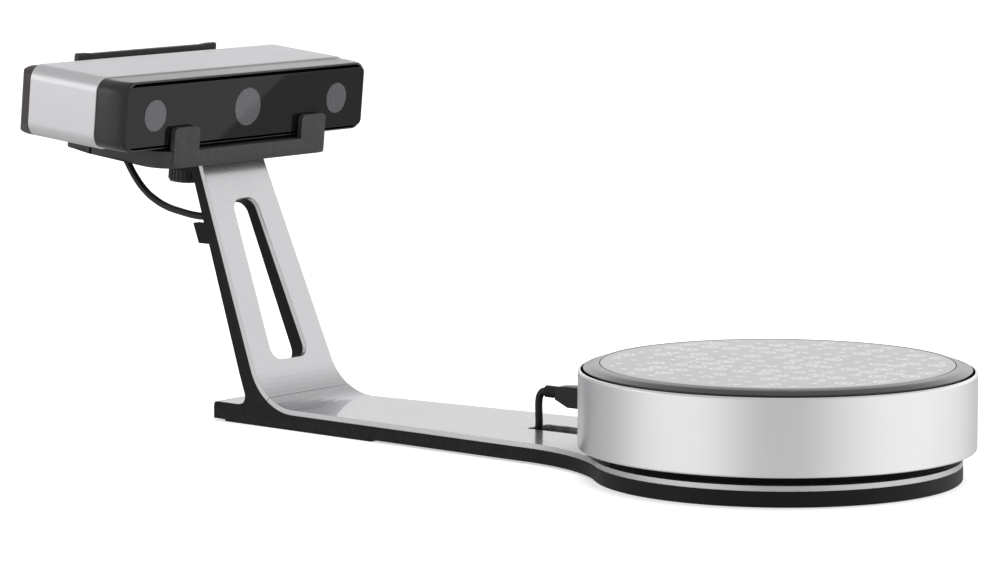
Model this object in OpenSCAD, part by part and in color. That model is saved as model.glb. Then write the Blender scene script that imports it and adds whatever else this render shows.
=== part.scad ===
// Desktop 3D scanner: a pitched scanning head in a cradle on a leaning neck, a long flat
// arm, and a motor-driven turntable. Millimetres, +Z up, feet on Z = 0. The arm runs along
// X from the head (-X) to the turntable (+X), and the origin is in the middle of the length.

/* [Base frame] */
// Distance from the turntable's axis to the foot of the neck's front face
neck_reach = 329; // [300:1:370]
// Height of the black frame under the disc and the arm
frame_h = 7.5; // [7.5:0.5:10]
// Thickness of the silver cover plates
skin_t = 2.9; // [2:0.1:3.5]
// How far the rubber feet stand proud of the frame
foot_h = 1.2; // [0.8:0.1:3]
// Radius of the round base disc
disc_r = 97.7; // [94:0.1:100]
// Width of the arm at the foot of the neck
arm_w = 69; // [62:1:76]
// Growth of the arm's half width for each millimetre towards the disc
arm_flare = 0.0626; // [0.03:0.001:0.08]
// Radius of the hollow fillets between the arm and the disc
arm_fillet_r = 110; // [60:1:120]
// Width of the slot in the arm that the lead comes up through
slot_w = 20; // [12:1:24]
// How far the heel reaches behind the foot of the neck
heel_len = 38; // [32:1:50]
// Height of the heel above the bottom of the frame
heel_h = 9.6; // [9:0.1:13]

/* [Neck] */
// Angle by which the neck leans back
neck_lean = 21.6; // [16:0.1:25]
// Height of the cradle's underside at the neck's front, above the table
neck_top_z = 147.5; // [135:0.5:170]
// Width of the neck at its top
neck_top_w = 52.4; // [46:0.2:58]
// Thickness of the black neck at its foot
neck_foot_t = 9.6; // [8.6:0.1:12]
// Thickness of the black neck at its top
neck_top_t = 5.8; // [5.6:0.1:8]
// Radius between the neck's front and the arm's top
neck_fillet_r = 35; // [25:1:45]
// Width of the band left on each side of the neck's long window
neck_band = 17.4; // [15:0.2:19]
// Distance along the neck from its foot to the window's lower end
window_low = 27; // [22:1:40]
// Distance along the neck from its foot to the window's upper end
window_high = 123; // [100:1:128]
// Corner radius of the window
window_r = 7.5; // [4:0.5:9]

/* [Cradle] */
// Pitch of the head towards the turntable
head_pitch = 5.6; // [0:0.1:12]
// Depth of the tray along the head's own axis
tray_len = 86; // [80:1:90]
// Width of the tray
tray_w = 148; // [130:1:160]
// Height of the tray
tray_h = 9.4; // [8:0.2:12]
// Wall thickness of the cradle
cradle_t = 3; // [2.4:0.2:4]
// Thickness of the soft pads between the cradle and the head
pad_t = 0.8; // [0.5:0.1:1.2]
// Width of each front hook
hook_w = 21; // [14:1:28]
// Height of the front hooks above the head's underside
hook_h = 12.8; // [8:0.2:15]
// Distance of each hook's middle from the middle of the cradle
hook_y = 54.5; // [40:0.5:60]
// Width of the wall behind the head
rear_wall_w = 118; // [108:1:130]
// Distance of the neck's front face behind the head sleeve's front edge, negative towards it
neck_set = 6.1; // [2:0.1:10]

/* [Head] */
// Width of the head
head_w = 210.4; // [190:0.2:230]
// Height of the head
head_h = 40.8; // [38:0.2:46]
// Depth of the silver sleeve
sleeve_len = 50.5; // [48:0.5:60]
// Wall thickness of the silver sleeve
sleeve_t = 2; // [1.5:0.1:2.5]
// Corner radius of the sleeve
sleeve_r = 8.5; // [6:0.5:10]
// Depth of the black front bezel
bezel_len = 19; // [17:0.5:24]
// Depth of the rear cap
cap_len = 8; // [6:0.5:10]
// How far the bezel stays inside the sleeve's outline
bezel_inset = 0.8; // [0.4:0.1:1.5]
// Thickness of the front glass
glass_t = 1.8; // [1.2:0.1:2]
// Distance of each camera's axis from the projector's axis
camera_y = 78; // [70:1:84]
// Radius of the camera windows
camera_window_r = 8.8; // [8:0.1:10]
// Radius of the projector window
projector_window_r = 10.8; // [10:0.1:12]
// Depth of the optical axes below the top of the head
optic_drop = 20.6; // [18:0.1:22]

/* [Turntable] */
// Outer radius of the silver drum
drum_r = 105; // [103:0.5:115]
// Height of the drum
drum_h = 41; // [40:0.5:50]
// Wall thickness of the drum
drum_t = 2.6; // [2:0.1:3]
// Height of the shadow gap under the drum
drum_gap = 4.9; // [3:0.1:8]
// Radius of the plinth that the turntable stands on
plinth_r = 88; // [84:0.5:92]
// Running gap between the platter and the drum
platter_gap = 1; // [0.6:0.1:1.5]
// Height of the platter's bevel above the drum
platter_rise = 3.4; // [2:0.1:5]
// Width of the platter's border around the marker disc
platter_border = 9; // [6:0.2:12]
// Diameter of the turntable's spindle
spindle_d = 12; // [10:0.5:14]
// Radial running clearance of the spindle and the gears on their shafts
run_gap = 0.04; // [0.02:0.01:0.08]

/* [Drive] */
// Teeth on the platter's gear
platter_teeth = 60; // [56:4:64]
// Teeth on the idler's small gear
idler_small_teeth = 15; // [13:1:18]
// Teeth on the idler's large gear
idler_large_teeth = 45; // [42:1:48]
// Teeth on the motor's pinion
pinion_teeth = 15; // [13:1:18]
// Module of the platter's gear pair
platter_module = 1.5; // [1.3:0.1:1.6]
// Module of the motor's gear pair
motor_module = 1.25; // [1:0.05:1.3]
// Width of the teeth
tooth_w = 5; // [4:0.5:6]
// Direction of the idler from the turntable's axis
idler_angle = 60; // [50:1:80]
// Radius of the motor's body
motor_r = 17.5; // [15:0.5:18]

/* [Lead and knob] */
// Diameter of the lead between the head and the turntable
lead_d = 4.2; // [3.8:0.1:4.4]
// Diameter of the thumb-screw's knob
knob_d = 18; // [14:0.5:24]
// Height of the thumb-screw's knob
knob_h = 11; // [8:0.5:14]
// Ribs around the knob
knob_ribs = 24; // [16:1:32]
// Diameter of the thumb-screw's stud
stud_d = 6; // [5:0.5:8]
// Thickness of the neck's flange under the cradle
flange_t = 8.6; // [6:0.2:10]

/* [Hidden] */
$fn = 96;

// Small shared allowances
fit_gap = 0.1;       // between parts that are pushed together
screw_gap = 0.2;     // around a screw's shank
press_gap = 0.005;   // around a shaft that is pressed in
slide_gap = 0.15;    // around a button
far = 400;           // long enough to pass any part
silver = [0.80, 0.80, 0.82];
black = [0.16, 0.16, 0.17];
rubber = [0.10, 0.10, 0.10];
steel = [0.62, 0.63, 0.65];
brown = [0.30, 0.27, 0.27];
nylon = [0.90, 0.89, 0.84];
board_green = [0.10, 0.32, 0.20];

// Levels from the table upwards
frame_z = foot_h;
frame_top = frame_z + frame_h;
skin_top = frame_top + skin_t;
drum_z = skin_top + drum_gap;
drum_top = drum_z + drum_h;

// The neck's front line starts at its foot and leans back to the cradle's underside
neck_foot = [-neck_reach, frame_top];
neck_len = (neck_top_z - frame_top) / cos(neck_lean);
neck_head = neck_foot + neck_len * [-sin(neck_lean), cos(neck_lean)];
fillet_reach = neck_fillet_r * tan((90 - neck_lean) / 2);
fillet_c = [neck_foot.x + fillet_reach, frame_top + neck_fillet_r];
seam_angle = 34;     // where the two silver plates meet, round the fillet
seam_gap = 0.6;      // angle of the joint between them
// Widths of the arm and the neck
neck_foot_w = arm_w + 0.8;
function arm_half(x) = arm_w / 2 + arm_flare * (x + neck_reach);
function neck_half(s) = (neck_foot_w - (neck_foot_w - neck_top_w) * s / neck_len) / 2;
function neck_rear(s) = -(neck_foot_t + (neck_top_t - neck_foot_t) * s / neck_len);
heel_x = -neck_reach - heel_len;

// The head's own frame: x forward along its pitch, z up, origin on the sleeve's front top edge
tray_top = -(head_h + pad_t);
tray_bottom = tray_top - tray_h;
tray_front = bezel_len + glass_proud() + pad_t + cradle_t;
tray_rear = tray_front - tray_len;
cap_rear = -(sleeve_len + cap_len);
rear_wall_x = cap_rear - pad_t - 0.2 - cradle_t;
hook_r = 3;
function glass_proud() = 0.3;
function head_pt(p) = [
    neck_head.x + cos(head_pitch) * (p.x - neck_set) + sin(head_pitch) * (p.z - tray_bottom),
    p.y,
    neck_head.y - sin(head_pitch) * (p.x - neck_set) + cos(head_pitch) * (p.z - tray_bottom)];
function neck_pt(p) = [
    neck_foot.x + cos(neck_lean) * p.x - sin(neck_lean) * p.z,
    p.y,
    neck_foot.y + sin(neck_lean) * p.x + cos(neck_lean) * p.z];

// The lead's run: out of the head, down a loose bow, through the neck and the arm, and up
lead_r = lead_d / 2;
lead_depth = 2.6;    // depth of the lead's middle under the cover plates
groove_w = lead_d + 0.8;
groove_depth = lead_depth + lead_r + 0.3;
lead_y = -25;        // where the lead runs in the neck's foot
lead_high = 108;     // distance along the neck where the lead turns in
lead_bend = 9;       // radius of that turn
lead_high_y = -19.5;
plug_exit = [-69, -8, -28];
plug_tip = -(drum_r - drum_t) + 6;
plug_hilt = plug_tip - 39.1;    // where the plug's body narrows
plug_waist = plug_tip - 47.6;   // where its strain relief starts
relief_x = plug_tip - 56.3;
slot_x = plug_tip - 61.8;       // where the lead comes up out of the arm
slot_end = slot_x - 3.8;
slot_shift = 2.5;    // how far the slot's middle is off the arm's middle
slot_len = 76;
lead_up_z = frame_z + 3.2;
plug_z = frame_z + 30.9;
entry_len = 29.8;    // length of the channel's deep end below the slot
// The lead's run along the arm: how far along, in parts of 114, and how much of lead_y is left
arm_run = [for (q = [[0, 1], [15, 0.94], [38, 0.74], [60, 0.52], [82, 0.3], [100, 0.14],
                     [114, 0.04]])
    let (from = -neck_reach + 29, to = slot_x - entry_len + 2)
    [from + q[0] / 114 * (to - from), lead_y * q[1]]];
function corner_pt(t) = let (r = neck_fillet_r + lead_depth)
    [fillet_c.x - r * sin(t), lead_y, fillet_c.y - r * cos(t)];
lead_route = concat(
    [head_pt(plug_exit), head_pt(plug_exit - [0, 0, 7])],
    [[-458.4, -8, 161], [-458.6, -8, 153], [-457.0, -8, 145.5],
     [-453.4, -8, 139.5], [-447.9, -8.5, 132.6], [-439.2, -9.5, 125],
     [-429.6, -11.5, 120.5], [-419.0, -13.5, 117.3], [-406.0, -16, 115.4],
     [-392.0, -18.5, 114.2]],
    [for (t = [68, 46, 23, 0])
        neck_pt([-lead_depth - lead_bend * (1 - cos(t)), lead_high_y,
                 lead_high + lead_bend * sin(t)])],
    [for (s = [95, 80, 65, 50, 35])
        neck_pt([-lead_depth, lead_high_y + (lead_y - lead_high_y) * (108 - s) / 84, s])],
    [for (t = [68, 51, 34, 17, 0]) corner_pt(t)],
    [for (p = arm_run) [p.x, p.y, frame_top - lead_depth]],
    [[slot_x - 15.8, 0, lead_up_z + 0.6], [slot_x - 8.2, 0, lead_up_z]],
    [for (t = [28, 58, 90]) [slot_x - 8.2 * (1 - sin(t)), 0, lead_up_z + 8.2 * (1 - cos(t))]],
    [[slot_x, 0, frame_z + 18]],
    [for (t = [0, 30, 60, 90])
        [relief_x - 1 - (relief_x - 1 - slot_x) * cos(t), 0, plug_z - 6 * (1 - sin(t))]],
    [[relief_x, 0, plug_z]]
);

// The turntable's inner levels
floor_t = 3;
chassis_r = drum_r - drum_t - fit_gap;
floor_top = drum_z + floor_t;
floor_root = floor_top - 1.5;   // where bosses start inside the floor
platter_r = drum_r - drum_t + 0.8 - platter_gap;
platter_top = drum_top + platter_rise;
marker_r = platter_r - platter_border;
marker_t = 1.5;
marker_seat = platter_top - marker_t - 0.1;
platter_t = 3;
platter_under = marker_seat - platter_t;
spindle_seat = 1.5;  // how far the spindle reaches up into the platter
gear_z = platter_under - 4 - tooth_w;
bearing_r = 12;
bearing_h = 6;
boss_r = bearing_r + 3;
boss_top = gear_z - 1.5;
upper_bearing_z = boss_top - bearing_h;
lower_bearing_z = floor_top + 2.5;
clip_z = lower_bearing_z - 1.2;
idler_large_z = gear_z - 2 - tooth_w;
pin_d = 5;
motor_top = idler_large_z - 2.5;
motor_shaft_d = 5;
function pitch_r(teeth, m) = teeth * m / 2;
idler_d = pitch_r(platter_teeth, platter_module)
    + pitch_r(idler_small_teeth, platter_module);
motor_d = pitch_r(idler_large_teeth, motor_module) + pitch_r(pinion_teeth, motor_module);
idler_at = idler_d * [cos(idler_angle), sin(idler_angle)];
motor_angle = idler_angle + 90;
motor_at = idler_at + motor_d * [cos(motor_angle), sin(motor_angle)];
unit_screw_r = 70;
unit_screw_d = 4;
unit_screw_angles = [0, 120, 240];
table_board = [28, 52, 1.6];
table_board_x = -(chassis_r - 9.3);
cover_r = 80;
cover_t = 1.6;
cover_screw_r = 60;
feet_r = disc_r - 8.2;
foot_r = 6;
feet_angles = [40, 140, 220, 320];

// Middle of the whole length, so that the origin sits there
rear_end = head_pt([plug_exit.x - 5.5, 0, plug_exit.z + 1]).x;
centre_x = (rear_end + drum_r) / 2;

// ---------------------------------------------------------------- shared shapes

// Points of an arc about c
function arc(c, r, from, to, n = 10) =
    [for (i = [0:n]) let (t = from + (to - from) * i / n) c + r * [cos(t), sin(t)]];

// Outline with its corners rounded, one radius for each corner
function rounded(pts, radii) = let (n = len(pts)) [
    for (i = [0:n - 1])
        let (p = pts[i], a = pts[(i + n - 1) % n] - p, b = pts[(i + 1) % n] - p,
             ua = a / norm(a), ub = b / norm(b), half = acos(ua * ub) / 2,
             r = radii[i], mid = (ua + ub) / norm(ua + ub), c = p + mid * r / sin(half),
             ta = p + ua * r / tan(half), tb = p + ub * r / tan(half),
             va = ta - c, sweep = (180 - 2 * half) * sign(a.x * b.y - a.y * b.x),
             steps = r > 0 ? 8 : 0)
        for (k = [0:steps])
            let (t = steps == 0 ? 0 : -sweep * k / steps)
            r > 0 ? c + [va.x * cos(t) - va.y * sin(t), va.x * sin(t) + va.y * cos(t)] : p];

function box_points(w, h) = [[-w / 2, -h / 2], [w / 2, -h / 2], [w / 2, h / 2], [-w / 2, h / 2]];

module rounded_box(w, h, r) {
    square([w - 2 * r, h], true);
    square([w, h - 2 * r], true);
    for (p = box_points(w - 2 * r, h - 2 * r)) translate(p) circle(r);
}

// Places drawings of the turntable's own frame into the whole part
module on_base() {
    translate([-centre_x, 0, 0]) children();
}

// The head's own frame
module in_head() {
    on_base()
        translate([neck_head.x, 0, neck_head.y])
            rotate([0, head_pitch, 0])
                translate([-neck_set, 0, -tray_bottom])
                    children();
}

// The neck's own frame: x out of its front face, z up along it
module in_neck() {
    on_base()
        translate([neck_foot.x, 0, neck_foot.y])
            rotate([0, -neck_lean, 0])
                children();
}

// A side view (x, z) given a width across Y
module across(w) {
    rotate([90, 0, 0]) translate([0, 0, -w / 2]) linear_extrude(w) children();
}

// A front view (y, z) given a depth along X from x0 to x1
module along_x(x0, x1) {
    translate([x0, 0, 0]) rotate([90, 0, 90]) linear_extrude(x1 - x0) children();
}

// Boundary between the black frame and the silver plates, moved out by o
function skin_path(o, start_x, end_s) = concat(
    [[start_x, frame_top + o]],
    [for (i = [0:12]) let (t = (90 - neck_lean) * i / 12)
        fillet_c - (neck_fillet_r - o) * [sin(t), cos(t)]],
    [neck_foot + o * [cos(neck_lean), sin(neck_lean)]
        + end_s * [-sin(neck_lean), cos(neck_lean)]]);

function backwards(v) = [for (i = [len(v) - 1:-1:0]) v[i]];

// Side view of a layer on that boundary, from inner to outer
module skin_layer(inner, outer, start_x, end_s) {
    polygon(concat(skin_path(outer, start_x, end_s), backwards(skin_path(inner, start_x, end_s))));
}

// Plan of the disc, the hollow fillets and the arm
module base_plan() {
    fillet_y = -(arm_half(-1.4 * disc_r) + arm_fillet_r);
    fillet_x = -sqrt(pow(disc_r + arm_fillet_r, 2) - pow(fillet_y, 2));
    touch = [fillet_x, fillet_y] * disc_r / (disc_r + arm_fillet_r);
    circle(disc_r, $fn = 180);
    difference() {
        union() {
            polygon([[heel_x, -arm_half(heel_x)], [0, -arm_half(0)],
                     [0, arm_half(0)], [heel_x, arm_half(heel_x)]]);
            polygon([[fillet_x, touch.y], touch, [touch.x, -touch.y], [fillet_x, -touch.y]]);
        }
        for (side = [1, -1])
            translate([fillet_x, side * fillet_y]) circle(arm_fillet_r, $fn = 180);
    }
}

// Taper that the neck and its fillet share with the arm, endless to the rear
module taper_plan() {
    polygon([[-far * 2, -arm_half(-far * 2)], [0, -arm_half(0)],
             [0, arm_half(0)], [-far * 2, arm_half(-far * 2)]]);
}

// Front view of the neck in its own frame, wide open below its foot
module neck_front(from, to) {
    polygon([[-neck_half(from), from], [neck_half(from), from],
             [neck_half(to), to], [-neck_half(to), to]]);
}

module neck_limit() {
    in_neck() along_x(-far, far) union() {
        neck_front(0, neck_len + 30);
        translate([-far / 2, -far]) square([far, far + 0.01]);
    }
}

module neck_window() {
    in_neck() along_x(-30, 30)
        polygon(rounded([
            [-(neck_half(window_low) - neck_band), window_low],
            [neck_half(window_low) - neck_band, window_low],
            [neck_half(window_high) - neck_band, window_high],
            [-(neck_half(window_high) - neck_band), window_high]],
            [window_r, window_r, window_r, window_r]));
}

module under_cradle() {
    intersection() {
        children();
        in_head() translate([-far / 2, -far / 2, tray_bottom - far]) cube([far, far, far]);
    }
}

// Channel of the lead in the neck and the arm
module lead_channel() {
    corridor = concat([[-neck_reach - 40, lead_y]], arm_run,
                      [[slot_x - 15.8, 0], [slot_x + 4.2, 0]]);
    half = groove_w / 2;
    on_base() intersection() {
        across(far) skin_layer(-groove_depth, 0.01, slot_x - 1.8, fillet_reach + 1);
        linear_extrude(far) polygon(concat(
            [for (p = corridor) p + [0, half]], backwards([for (p = corridor) p - [0, half]])));
    }
    neck_half_w = half + 0.2;
    in_neck() along_x(-groove_depth - 0.2, 0.01)
        polygon([[lead_y - neck_half_w, fillet_reach + 0.5],
                 [lead_y + neck_half_w, fillet_reach + 0.5],
                 [lead_high_y + neck_half_w, lead_high + 8],
                 [lead_high_y - neck_half_w, lead_high + 8]]);
    in_neck() translate([-20, lead_high_y - half, lead_high - 2])
        cube([20 - lead_depth, groove_w, lead_bend + 9]);
    on_base() translate([slot_x - entry_len, -half, frame_z + 0.8])
        cube([entry_len, groove_w, far]);
    on_base() translate([slot_x, 0, frame_z + 0.8]) cylinder(h = far, r = half);
}

// Outline of one gear with its first tooth pointing along +X
function involute(t) = [cos(t) + t * PI / 180 * sin(t), sin(t) - t * PI / 180 * cos(t)];
module gear_outline(teeth, m) {
    rp = pitch_r(teeth, m);
    rb = rp * cos(25);
    ra = rp + 0.92 * m;
    rf = rp - 1.2 * m;
    back = 4.5 / teeth;                       // thins each tooth for running play
    at_pitch = tan(25) * 180 / PI;
    lean = at_pitch - 25;
    half_tooth = 90 / teeth - back + lean;
    function roll(r) = r <= rb ? 0 : sqrt(pow(r / rb, 2) - 1) * 180 / PI;
    function flank(r) = let (t = roll(r), q = involute(t), a = atan2(q.y, q.x))
        [r, half_tooth - a];
    radii = [max(rf, rb), rp, ra];
    side = [for (r = radii) flank(r)];
    root = side[0][1];
    outline = [for (i = [0:teeth - 1]) let (c = 360 * i / teeth)
        each concat(
            [[rf * cos(c - root), rf * sin(c - root)]],
            [for (q = side) [q[0] * cos(c - q[1]), q[0] * sin(c - q[1])]],
            [for (q = backwards(side)) [q[0] * cos(c + q[1]), q[0] * sin(c + q[1])]],
            [[rf * cos(c + root), rf * sin(c + root)]])];
    polygon(outline);
}

// Tube along a route, one ring for each point
module tube(route, r, sides) {
    n = len(route);
    function heading(i) = let (d = route[min(i + 1, n - 1)] - route[max(i - 1, 0)]) d / norm(d);
    rings = [for (i = [0:n - 1])
        let (t = heading(i), u0 = cross(t, [0, 1, 0]), u = u0 / norm(u0), v = cross(t, u))
        for (k = [0:sides - 1]) let (a = 360 * k / sides)
            route[i] + r * (cos(a) * u + sin(a) * v)];
    walls = [for (i = [0:n - 2]) for (k = [0:sides - 1])
        let (a = i * sides + k, b = i * sides + (k + 1) % sides)
        each [[a, b, b + sides], [a, b + sides, a + sides]]];
    first = [for (k = [1:sides - 2]) [0, k + 1, k]];
    last = (n - 1) * sides;
    ending = [for (k = [1:sides - 2]) [last, last + k, last + k + 1]];
    polyhedron(rings, concat(walls, first, ending), convexity = 6);
}

module screw(d, shank, head_d, head_t) {
    cylinder(h = shank, r = d / 2);
    translate([0, 0, -head_t]) cylinder(h = head_t, r = head_d / 2);
}

// ---------------------------------------------------------------- stand

module stand_frame() color(black) difference() {
    union() {
        on_base() translate([0, 0, frame_z]) linear_extrude(frame_h) base_plan();
        under_cradle() intersection() {
            on_base() across(arm_w + 40) neck_profile();
            on_base() linear_extrude(far) taper_plan();
            neck_limit();
        }
        flange();
    }
    neck_window();
    lead_channel();
    heel_recess(0);
    in_head() translate([knob_x(), 0, tray_bottom - flange_t - 1])
        cylinder(h = flange_t + 2, r = stud_d / 2 + screw_gap);
    on_base() translate([0, 0, frame_z - 1])
        cylinder(h = cover_t + 1, r = cover_r + fit_gap);
    on_base() for (a = unit_screw_angles) rotate(a) translate([unit_screw_r, 0, 0]) {
        cylinder(h = frame_top + 1, r = unit_screw_d / 2 + screw_gap);
        cylinder(h = frame_z + cover_t + 2.6, r = unit_screw_d + 0.2);
    }
    on_base() for (a = feet_angles) rotate(a) translate([feet_r, 0, frame_z - 1])
        cylinder(h = 2, r = foot_r + fit_gap);
    on_base() for (a = feet_angles) rotate(a) translate([cover_screw_r, 0, frame_z])
        cylinder(h = 5.6, r = 1.5);
}

function knob_x() = (tray_rear + tray_front) / 2 - 6;

// Side view of the neck, the fillets and the heel
module neck_profile() {
    rear_foot = neck_foot - neck_foot_t * [cos(neck_lean), sin(neck_lean)];
    rear_head = neck_foot - neck_top_t * [cos(neck_lean), sin(neck_lean)]
        + neck_len * [-sin(neck_lean), cos(neck_lean)];
    slope = (rear_head.x - rear_foot.x) / (rear_head.y - rear_foot.y);
    heel_top = frame_z + heel_h;
    joint = [rear_foot.x + slope * (heel_top - rear_foot.y), heel_top];
    top = neck_len + 20;
    rear_top = [rear_foot.x + slope * (neck_top_z + 18 - rear_foot.y), neck_top_z + 18];
    polygon(rounded(concat(
        skin_path(0, -neck_reach + 50, top),
        [rear_top, joint, [heel_x, heel_top], [heel_x + 1.2, frame_z + 2],
         [heel_x + 8, frame_z], [-neck_reach + 50, frame_z]]),
        concat([for (i = [0:14]) 0], [0, 5, 1.5, 1, 0, 0])));
}

// Bent-back top of the neck that the cradle is screwed to
module flange() {
    front = neck_set - 1;
    half = neck_top_w / 2 - 0.2;
    in_head() intersection() {
        translate([0, 0, tray_bottom - flange_t])
            linear_extrude(flange_t)
                polygon(rounded([[-44, -half], [front, -half], [front, half], [-44, half]],
                                [8, 0, 0, 8]));
        across(far) polygon(rounded(
            [[-60, tray_bottom], [-60, tray_bottom - flange_t],
             [front, tray_bottom - flange_t - 1], [front, tray_bottom]], [0, 0, 0, 0]));
    }
}

module heel_recess(gap) {
    x0 = heel_x + 2;
    x1 = -neck_reach - neck_foot_t - 10;
    on_base() translate([0, 0, frame_z + heel_h - 1.5])
        linear_extrude(gap > 0 ? 1.5 : 5)
            polygon([[x0 + gap, -arm_half(x0) + 1 + gap], [x1 - gap, -arm_half(x1) + 1 + gap],
                     [x1 - gap, arm_half(x1) - 1 - gap], [x0 + gap, arm_half(x0) - 1 - gap]]);
}

module heel_plate() color(silver) heel_recess(fit_gap);

// Side view of everything on the neck's side of a seam at this angle round the fillet
module neck_side(seam) {
    out = fillet_c - far * [sin(seam), cos(seam)];
    polygon([fillet_c, out, fillet_c - [far, 0], fillet_c + [-far, far], fillet_c + [0, far]]);
}

// Slot in the arm that the lead comes up through, open towards the turntable
module cable_slot() {
    translate([slot_end + slot_len / 2, slot_shift]) rounded_box(slot_len, slot_w, 3.5);
}

module arm_skin() color(silver) difference() {
    union() {
        on_base() difference() {
            translate([0, 0, frame_top]) linear_extrude(skin_t) base_plan();
            translate([-far - neck_reach + fillet_reach, -far / 2, 0]) cube([far, far, far]);
        }
        intersection() {
            on_base() across(arm_w + 40) intersection() {
                skin_layer(0, skin_t, fillet_c.x, neck_len);
                translate([fillet_c.x - far, 0]) square([far, far]);
            }
            on_base() linear_extrude(far) taper_plan();
        }
    }
    on_base() across(far) neck_side(seam_angle);
    on_base() linear_extrude(far) cable_slot();
    on_base() for (a = unit_screw_angles) rotate(a) translate([unit_screw_r, 0, 0])
        cylinder(h = far, r = unit_screw_d / 2 + screw_gap);
}

module neck_skin() color(silver) difference() {
    under_cradle() intersection() {
        on_base() across(arm_w + 40) skin_layer(0, skin_t, fillet_c.x, neck_len + 10);
        on_base() across(far) neck_side(seam_angle + seam_gap);
        on_base() linear_extrude(far) taper_plan();
        neck_limit();
    }
    neck_window();
}

module bottom_cover() color(black) on_base() difference() {
    translate([0, 0, frame_z]) cylinder(h = cover_t, r = cover_r);
    for (a = feet_angles) rotate(a) translate([cover_screw_r, 0, frame_z - 0.5]) {
        cylinder(h = far, r = 1.5 + screw_gap);
        cylinder(h = 1.2, r = 3);
    }
}

module cover_screws() color(steel) on_base()
    for (a = feet_angles) rotate(a) translate([cover_screw_r, 0, frame_z + 0.7])
        screw(3, 4.8, 5.6, 0.6);

module rear_foot_pad() color(rubber) on_base() {
    x0 = heel_x + 8.5;
    x1 = -neck_reach + 84;
    linear_extrude(foot_h)
        polygon([[x0, -arm_half(x0) + 0.3], [x1, -arm_half(x1) + 0.3],
                 [x1, arm_half(x1) - 0.3], [x0, arm_half(x0) - 0.3]]);
}

module disc_feet() color(rubber) on_base()
    for (a = feet_angles) rotate(a) translate([feet_r, 0, 0])
        cylinder(h = frame_z + 1, r = foot_r);

// Point on the neck's rear face, in side view
function rear_pt(s) = neck_foot + s * [-sin(neck_lean), cos(neck_lean)]
    + neck_rear(s) * [cos(neck_lean), sin(neck_lean)];

// Block on the back of the neck with a channel that a second lead snaps into
module cable_clip() color(black) {
    low = 100.6;
    high = 112.8;
    proud = 9.8;
    clip_w = 14;
    mid = lead_high_y - 0.5;
    hole = rear_pt(low) - [proud - lead_r - 1.6, 0];
    on_base() difference() {
        translate([0, mid, 0]) across(clip_w) polygon([
            rear_pt(low), rear_pt(high), rear_pt(high) - [proud, 0], rear_pt(low) - [proud, 0]]);
        translate([hole.x, mid, hole.y]) rotate([0, -neck_lean, 0]) {
            translate([0, 0, -20]) cylinder(h = 60, r = lead_r + 0.1);
            translate([-20, -lead_r + 0.4, -20]) cube([20, lead_d - 0.8, 60]);
        }
    }
}

// ---------------------------------------------------------------- lead

module lead() color(rubber) on_base() tube(lead_route, lead_r, 10);

module head_plug() color(black) in_head() {
    x = plug_exit.x;
    z = optic_drop;
    translate([0, plug_exit.y, 0]) {
        along_x(x - 5.5, cap_rear - 1)
            translate([0, (plug_exit.z - z + 7) / 2 + 0.5])
                rounded_box(11, -plug_exit.z + 7 - z, 2.5);
        translate([cap_rear - 1, 0, -z]) rotate([0, 90, 0]) cylinder(h = 7, r = 3.4);
    }
}

module turntable_plug() color(black) on_base() {
    translate([0, 0, plug_z]) {
        across(9) polygon(rounded([
            [plug_tip, 4.3], [plug_hilt, 4.3], [plug_waist, 3.6], [plug_waist, -3.4],
            [plug_hilt, -7.2],
            [plug_tip, -7.2]],
            [0, 0, 0, 0, 2, 0]));
        translate([relief_x, 0, 0]) rotate([0, 90, 0]) rotate_extrude()
            polygon(concat([[0, 0]],
                [for (i = [0:7]) [i % 2 == 0 ? 3.5 : 2.9, floor(i / 2) * 2.1 + (i % 2) * 1.3]],
                [[3.4, plug_waist - relief_x + 0.5], [0, plug_waist - relief_x + 0.5]]));
    }
}

// ---------------------------------------------------------------- cradle

module tray_plan(inset) {
    h = tray_w / 2 - inset;
    polygon(rounded([[tray_rear + inset, -h], [tray_front - inset, -h],
                     [tray_front - inset, h], [tray_rear + inset, h]],
                    [10 - inset, 14 - inset, 14 - inset, 10 - inset]));
}

module cradle() color(black) in_head() difference() {
    union() {
        translate([0, 0, tray_bottom]) linear_extrude(tray_h) difference() {
            tray_plan(0);
            difference() {
                tray_plan(cradle_t);
                seat_plan();
                for (y = [-50, 50]) translate([tray_rear, y - 1]) square([tray_len, 2]);
                for (x = [-35, -8]) translate([x - 1, -tray_w / 2]) square([2, tray_w]);
            }
        }
        translate([0, 0, tray_top - cradle_t]) linear_extrude(cradle_t) tray_plan(0);
        for (side = [1, -1]) translate([0, side * hook_y, 0])
            along_x(tray_front - cradle_t, tray_front)
                polygon(rounded([[-hook_w / 2, tray_bottom + 2], [hook_w / 2, tray_bottom + 2],
                                 [hook_w / 2, -head_h + hook_h], [-hook_w / 2, -head_h + hook_h]],
                                [0, 0, hook_r, hook_r]));
        along_x(rear_wall_x, rear_wall_x + cradle_t) rear_wall();
    }
    translate([knob_x(), 0, tray_bottom - 1])
        cylinder(h = tray_h - cradle_t + 1, r = stud_d / 2 + fit_gap);
}

// Solid middle of the tray that rests on the neck's flange
module seat_plan() {
    translate([-45, -neck_top_w / 2]) square([45 + neck_set + 6, neck_top_w]);
}

module rear_wall() {
    h = rear_wall_w / 2;
    top = 1.4;
    ear = 1.3;
    difference() {
        polygon(rounded([
            [-h, tray_bottom], [h, tray_bottom], [h, top + ear], [h - 7, top + ear],
            [h - 12, top], [-h + 12, top], [-h + 7, top + ear], [-h, top + ear]],
            [4, 4, 2.4, 3, 3, 3, 3, 2.4]));
        translate([0, -optic_drop - 1]) rounded_box(94, 29, 4);
    }
}

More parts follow.
